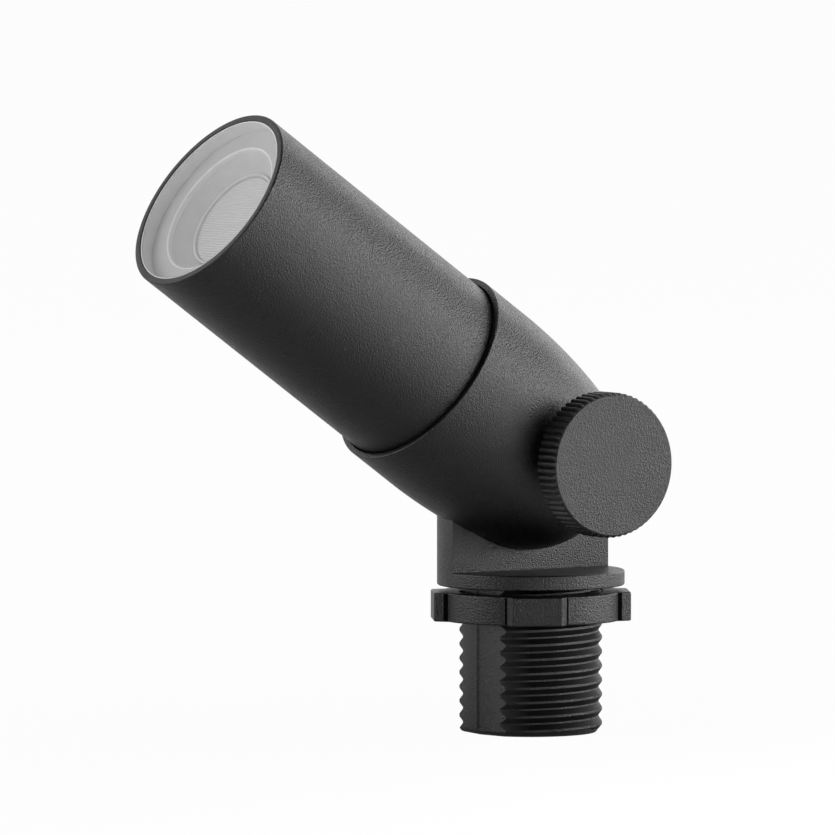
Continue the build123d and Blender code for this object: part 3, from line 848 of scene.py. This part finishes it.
def build_base(sizes, finish):
    """Half-round block on its flange."""
    edge = mm(sizes.flange_round)
    bm = bmesh.new()
    wire(bm, [(0, 0), (FLANGE_RADIUS, 0), (FLANGE_RADIUS, FLANGE_TOP), (0, FLANGE_TOP)], {1: edge, 2: edge})
    half_turn(bm, -pi)
    back = bmesh.new()
    wire(
        back, [(0, 0), (FLANGE_RADIUS, 0), (FLANGE_RADIUS, FLANGE_TOP - edge), (FLANGE_RADIUS, PIVOT.z)], {1: edge}
    )
    top = [vert for vert in back.verts if abs(vert.co.z - PIVOT.z) < WELD][0]
    swing(back, top, (0, PIVOT.z), -pi / 2, DOME_STEPS)
    half_turn(back, pi)
    half = bpy.data.meshes.new("half")
    back.to_mesh(half)
    back.free()
    bm.from_mesh(half)
    bpy.data.meshes.remove(half)
    clean(bm)
    bmesh.ops.edgeloop_fill(bm, edges=[item for item in bm.edges if item.is_boundary])
    bmesh.ops.recalc_face_normals(bm, faces=bm.faces)
    flat = max(bm.faces, key=lambda face: face.calc_area())
    arris = [
        item for item in flat.edges
        if min(vert.co.z for vert in item.verts) > FLANGE_TOP - edge - WELD
        and max(vert.co.z for vert in item.verts) > FLANGE_TOP + WELD
    ]
    soften(bm, arris, mm(sizes.block_round))
    piece = shape_object(bm, "knuckle_block", ON_STEM)
    dress(piece, finish, "base", "moulded_black", "knuckle_base")


def thread_wire(bm, pitch, depth, phase):
    """One column of the thread: straight flanks between narrow crests and roots."""
    first = int((STEM_END - phase) / pitch) - SPARE_TURNS
    last = int((STEM_TOP - phase) / pitch) + SPARE_TURNS
    wire(bm, [
        (STEM_RADIUS - depth * drop, phase + (turn + rise) * pitch)
        for turn in range(first, last) for rise, drop in THREAD_FORM
    ])


def build_stem(sizes, finish, flank):
    """Threaded stem with drafted flats beside the mould seam, a rounded end and the cable bore."""
    pitch = mm(sizes.thread_pitch)
    bm = bmesh.new()
    thread_wire(bm, pitch, mm(sizes.thread_depth), mm(sizes.thread_phase))
    bmesh.ops.spin(
        bm, geom=everything(bm), cent=(0, 0, 0), axis=(0, 0, 1), dvec=(0, 0, pitch / TURN_STEPS), angle=2 * pi,
        steps=TURN_STEPS,
    )
    clean(bm)
    slice_off(bm, (0, 0, STEM_TOP), (0, 0, 1))
    slice_off(bm, (0, 0, STEM_END), (0, 0, -1))
    draft = sizes.facet_draft
    ridge = mm(sizes.facet_ridge)
    for way in (-1, 1):
        for lean in (-1, 1):
            slice_off(bm, (way * ridge, 0, 0), (way * cos(draft), lean * sin(draft), 0))
    end = mm(sizes.stem_round)
    for share in END_CUTS:
        score(bm, everything(bm), (0, 0, STEM_END + share * end), (0, 0, 1))
    for vert in bm.verts:
        rise = vert.co.z - STEM_END
        if rise < end:
            inset = end - sqrt(max(0.0, end**2 - (end - rise) ** 2))
            vert.co.xy *= 1 - inset / vert.co.xy.length
    bore_stem(bm)
    width = mm(sizes.seam_width)
    height = mm(sizes.seam_height)
    bow = (width**2 / 4 + height**2) / (2 * height)
    for way in (-1, 1):
        bmesh.ops.create_cone(
            bm, cap_ends=True, segments=SEAM_STEPS, radius1=bow, radius2=bow, depth=STEM_TOP - STEM_END - end,
            matrix=Matrix.Translation((way * (ridge + height - bow), 0, (STEM_TOP + STEM_END + end) / 2)),
        )

    def on_thread(face):
        """Whether a face is a flank of the thread above the rounded end."""
        return FLANK_SLOPE[0] < abs(face.normal.z) < FLANK_SLOPE[1] and face.center.z > (STEM_END + end) * MM

    piece = shape_object(bm, "threaded_stem", ON_STEM)
    dress(piece, finish, "base", "moulded_black", "knuckle_base", crease=THREAD_CREASE)
    # The flanks get the painted shade and light of the second finish
    shade(piece, flank, on_thread)


def bore_stem(bm):
    """Cable bore from the stem's end."""
    bmesh.ops.recalc_face_normals(bm, faces=bm.faces)
    ends = [face for face in bm.faces if max(vert.co.z for vert in face.verts) < STEM_END + WELD]
    bmesh.ops.delete(bm, geom=ends, context="FACES")
    mouth = [edge for edge in bm.edges if edge.is_boundary]
    for height in (STEM_END, BORE_ROOF):
        out = bmesh.ops.extrude_edge_only(bm, edges=mouth)["geom"]
        for vert in only(BMVert, out):
            vert.co.xy *= STEM_BORE / vert.co.xy.length
            vert.co.z = height
        mouth = [edge for edge in only(BMEdge, out) if edge.is_boundary]
    bmesh.ops.edgeloop_fill(bm, edges=mouth)


def on_lug_side(centre, normal):
    """Whether a face of the locknut is the side of a lug."""
    return abs(normal.z) < LUG_SIDE[0] and abs(normal.xy.dot(centre.xy.normalized())) < LUG_SIDE[1]


def in_root(face):
    """Whether a face of the locknut lies in the corner between a lug's side and the ring, where it gets painted shade.
    """
    turn = atan2(face.center.y, face.center.x) - LUG_TURN
    from_lug = (turn + pi / LUGS) % (2 * pi / LUGS) - pi / LUGS
    return on_lug_side(face.center, face.normal) and face.center.xy.length * cos(from_lug) < LUG_ROOT * MM


def lug_wall(bm, middle, reach):
    """Faces of the ring's outer wall within an angle of the middle of a lug."""
    wall = []
    for face in bm.faces:
        centre = face.calc_center_median()
        turn = (atan2(centre.y, centre.x) - middle + pi) % (2 * pi) - pi
        outermost = abs(centre.xy.length - NUT_RADIUS) < WALL_SLACK and abs(face.normal.z) < WALL_LEAN
        if outermost and abs(turn) < reach:
            wall.append(face)
    return wall


def build_nut(sizes, finish, corner):
    """Ring with four drafted lugs, with painted shade in the corners beside them."""
    bm = turned_shape(
        [(NUT_BORE, NUT_BOTTOM), (NUT_RADIUS, NUT_BOTTOM), (NUT_RADIUS, NUT_TOP), (NUT_BORE, NUT_TOP)],
        steps=NUT_STEPS,
    )
    reach = LUG_STEPS * pi / NUT_STEPS
    root = NUT_RADIUS * sin(reach)
    turns = [lug * 2 * pi / LUGS for lug in range(LUGS)]
    for middle in turns:
        wall = lug_wall(bm, middle, reach)
        out = bmesh.ops.extrude_face_region(bm, geom=wall)["geom"]
        bmesh.ops.delete(bm, geom=wall, context="FACES_ONLY")
        tip = only(BMVert, out)
        to_lug = Matrix.Rotation(-middle, 4, "Z")
        bmesh.ops.scale(bm, vec=(0, LUG_TIP / 2 / root, 1), space=to_lug, verts=tip)
        bmesh.ops.translate(bm, vec=Matrix.Rotation(middle, 3, "Z") @ Vector((LUG_REACH, 0, 0)), verts=tip)
    clean(bm)
    for middle in turns:
        sides = [face for face in bm.faces if on_lug_side(face.calc_center_median(), face.normal)]
        outwards = Matrix.Rotation(middle, 3, "Z") @ Vector((1, 0, 0))
        score(bm, with_borders(sides), outwards * LUG_ROOT, outwards)
    soften(bm, [edge for edge in bm.edges if is_sharp(edge)], mm(sizes.nut_round))
    bmesh.ops.rotate(bm, cent=(0, 0, 0), matrix=Matrix.Rotation(LUG_TURN, 3, "Z"), verts=bm.verts)
    piece = shape_object(bm, "lugged_nut", ON_STEM)
    dress(piece, finish, "nut", "moulded_black", "locknut")
    # Painted shade: a copy of the black that reflects nothing, in the corners beside the lugs
    shade(piece, corner, in_root)


def build_floor(tone):
    """Pale floor under the stem's end; it shows as white, keeps a soft shadow and has painted shade round the stem."""
    bm = bmesh.new()
    bmesh.ops.create_circle(bm, cap_ends=True, segments=FLOOR_STEPS, radius=FLOOR_RADIUS)
    floor = shape_object(bm, "floor", Matrix.Translation((0, 0, FLOOR_LEVEL)))
    material, tree, shader = finish_named("pale_floor")
    tree.nodes.remove(shader)
    away = calc(tree, "LENGTH", object_coords(tree), kind="VectorMath")
    matt = add(tree, "BsdfDiffuse")
    glow = add(tree, "Emission", {"Color": (1, 1, 1, 1), "Strength": 1.0})
    path = add(tree, "LightPath").outputs
    echoed = calc(tree, "MAXIMUM", path["Is Glossy Ray"], path["Is Transmission Ray"])
    white = calc(
        tree, "MAXIMUM", calc(tree, "MULTIPLY", echoed, FLOOR_ECHO),
        calc(tree, "MULTIPLY", path["Is Camera Ray"], FLOOR_SEEN),
    )
    mixed = add(tree, "MixShader")
    link = tree.links.new
    # Painted shade: the floor's colour darkens towards the stem
    link(blend(tree, ranged(tree, away, FLOOR_FADE, FLOOR_TONES), (0, 0, 0, 1), opaque(tone)), matt.inputs["Color"])
    link(white, mixed.inputs["Fac"])
    link(matt.outputs["BSDF"], mixed.inputs[1])
    link(glow.outputs["Emission"], mixed.inputs[2])
    link(mixed.outputs["Shader"], tree.nodes["Material Output"].inputs["Surface"])
    floor.data.materials.append(material)


def soft_box(name, direction, distance, width, height, radiance):
    """Area lamp that faces the head from a direction."""
    lamp = bpy.data.lights.new(name, "AREA")
    lamp.shape = "RECTANGLE"
    lamp.size = width
    lamp.size_y = height
    lamp.energy = radiance * pi * width * height
    box = bpy.data.objects.new(name, lamp)
    away = Vector(direction).normalized()
    box.location = LAMP_TARGET + away * distance
    box.rotation_euler = away.to_track_quat("Z", "Y").to_euler()
    bpy.context.scene.collection.objects.link(box)
    return box


def build_lamps():
    """Soft boxes round the light, and a small one that looks straight down on the floor in front of it."""
    for name, lamp in LAMPS.items():
        soft_box(name, *lamp)
    patch_box = soft_box("patch_box", *PATCH)
    patch_box.location.xy = PATCH_PLACE
    patch_box.data.spread = PATCH_SPREAD


def build_sky(scene):
    """Surroundings that fade from bright to dim."""
    world = bpy.data.worlds.new("studio")
    world.use_nodes = True
    tree = world.node_tree
    towards = dot(tree, add(tree, "TexCoord").outputs["Generated"], SKY_TOWARDS)
    sky = tree.nodes["Background"].inputs
    sky["Color"].default_value = (1, 1, 1, 1)
    tree.links.new(ranged(tree, towards, SKY_SPAN, SKY_LEVELS), sky["Strength"])
    scene.world = world


def build_camera(scene):
    """Long lens from the front and a little above."""
    lens = bpy.data.cameras.new("camera")
    lens.sensor_width = SENSOR_WIDTH
    lens.lens = FOCAL_LENGTH
    lens.clip_end = FAR_CLIP
    camera = bpy.data.objects.new("camera", lens)
    camera.location = CAMERA_PLACE
    camera.rotation_euler = CAMERA_TURN
    scene.collection.objects.link(camera)
    scene.camera = camera


class ACCENT_OT_head(bpy.types.Operator):
    """Builds the tube and the rear housing"""

    bl_idname = "accent.head"
    bl_label = "Tube and Housing"

    def execute(self, context):
        sizes = context.scene.accent_sizes
        tone = context.scene.accent_finishes.coat
        finish = grained_black("black_coat", tone, sizes, sheen=(0.27, 0.35), grain_share=1.15)
        build_tube(sizes, finish)
        build_housing(sizes, finish)
        return {"FINISHED"}


class ACCENT_OT_window(bpy.types.Operator):
    """Builds the window and the optics that show through it"""

    bl_idname = "accent.window"
    bl_label = "Window and Optics"

    def execute(self, context):
        build_window(context.scene.accent_sizes, context.scene.accent_finishes)
        return {"FINISHED"}


class ACCENT_OT_mouldings(bpy.types.Operator):
    """Builds the knob, the block, the stem and the locknut"""

    bl_idname = "accent.mouldings"
    bl_label = "Knob, Base and Nut"

    def execute(self, context):
        sizes = context.scene.accent_sizes
        tone = context.scene.accent_finishes.moulding
        finish = grained_black("black_moulding", tone, sizes, sheen=(0.28, 0.36), grain_share=1.3)
        thread = grained_black("black_thread", tone, sizes, sheen=(0.24, 0.32), grain_share=0.5)
        # Painted shade and light for the thread's flanks
        flank = thread_flank("flank_painted_shade_and_light", tone)
        # Painted shade for the corners beside the locknut's lugs
        corner = plain_plastic("root_painted_shade", tone, sheen=(0.5, 0.6), grain=1500.0, level=0.0)
        build_knob(sizes, finish)
        build_base(sizes, finish)
        build_stem(sizes, thread, flank)
        build_nut(sizes, finish, corner)
        return {"FINISHED"}


class ACCENT_OT_inner(bpy.types.Operator):
    """Gives the pieces inside their finishes"""

    bl_idname = "accent.inner"
    bl_label = "Inner Pieces"

    def execute(self, context):
        finishes = {
            "seal_rubber": plain_plastic("seal_rubber", (0.02, 0.02, 0.02), sheen=(0.6, 0.75), grain=1200.0, level=0.3),
            "brass": turned_metal("turned_brass", (0.72, 0.55, 0.25), sheen=(0.25, 0.38), grain=2500.0),
            "steel": turned_metal("rolled_steel", (0.6, 0.6, 0.61), sheen=(0.28, 0.42), grain=2800.0),
            "bare_aluminium": turned_metal("turned_aluminium", (0.75, 0.76, 0.77), sheen=(0.3, 0.42), grain=2200.0),
            "board_laminate": plain_plastic("board_laminate", (0.06, 0.25, 0.12), sheen=(0.35, 0.5), grain=1500.0),
            "ferrite": plain_plastic("drum_ferrite", (0.08, 0.08, 0.085), sheen=(0.55, 0.7), grain=1800.0),
            "lead_jacket": plain_plastic("lead_jacket", (0.5, 0.04, 0.03), sheen=(0.4, 0.52), grain=900.0),
            "led_package": plain_plastic("led_phosphor", (0.9, 0.75, 0.25), sheen=(0.2, 0.32), grain=2000.0),
        }
        slots = {row["node"]: row["material_slot"] for row in frame["record"]["subparts"]}
        for name, node in frame["nodes"].items():
            if slots[name] in finishes:
                node.data.materials.clear()
                node.data.materials.append(finishes[slots[name]])
        return {"FINISHED"}


class ACCENT_OT_stage(bpy.types.Operator):
    """Sets the floor, the lamps, the surroundings and the camera"""

    bl_idname = "accent.stage"
    bl_label = "Stage"

    def execute(self, context):
        scene = context.scene
        build_floor(scene.accent_finishes.floor)
        build_lamps()
        build_sky(scene)
        build_camera(scene)
        scene.view_settings.view_transform = "Standard"
        return {"FINISHED"}


class ACCENT_PT_panel(bpy.types.Panel):
    """Buttons for the steps, and the sizes and colours they use"""

    bl_idname = "ACCENT_PT_panel"
    bl_label = "Accent Light"
    bl_space_type = "VIEW_3D"
    bl_region_type = "UI"
    bl_category = "Accent Light"

    def draw(self, context):
        for operator in OPERATORS:
            self.layout.operator(operator.bl_idname)
        for group in (context.scene.accent_sizes, context.scene.accent_finishes):
            for key in group.bl_rna.properties.keys():
                if key not in {"rna_type", "name"}:
                    self.layout.prop(group, key)


OPERATORS = (ACCENT_OT_head, ACCENT_OT_window, ACCENT_OT_mouldings, ACCENT_OT_inner, ACCENT_OT_stage)
CLASSES = (AccentSizes, AccentFinishes) + OPERATORS + (ACCENT_PT_panel,)


def register():
    """Makes the classes and the scene's settings known."""
    for item in CLASSES:
        bpy.utils.register_class(item)
    bpy.types.Scene.accent_sizes = bpy.props.PointerProperty(type=AccentSizes)
    bpy.types.Scene.accent_finishes = bpy.props.PointerProperty(type=AccentFinishes)


def unregister():
    """Takes the settings and the classes away again."""
    del bpy.types.Scene.accent_finishes
    del bpy.types.Scene.accent_sizes
    for item in reversed(CLASSES):
        bpy.utils.unregister_class(item)


def main():
    """Builds the light in order."""
    register()
    bpy.ops.accent.head()
    bpy.ops.accent.window()
    bpy.ops.accent.mouldings()
    bpy.ops.accent.inner()
    bpy.ops.accent.stage()


if __name__ == "__main__":
    main()
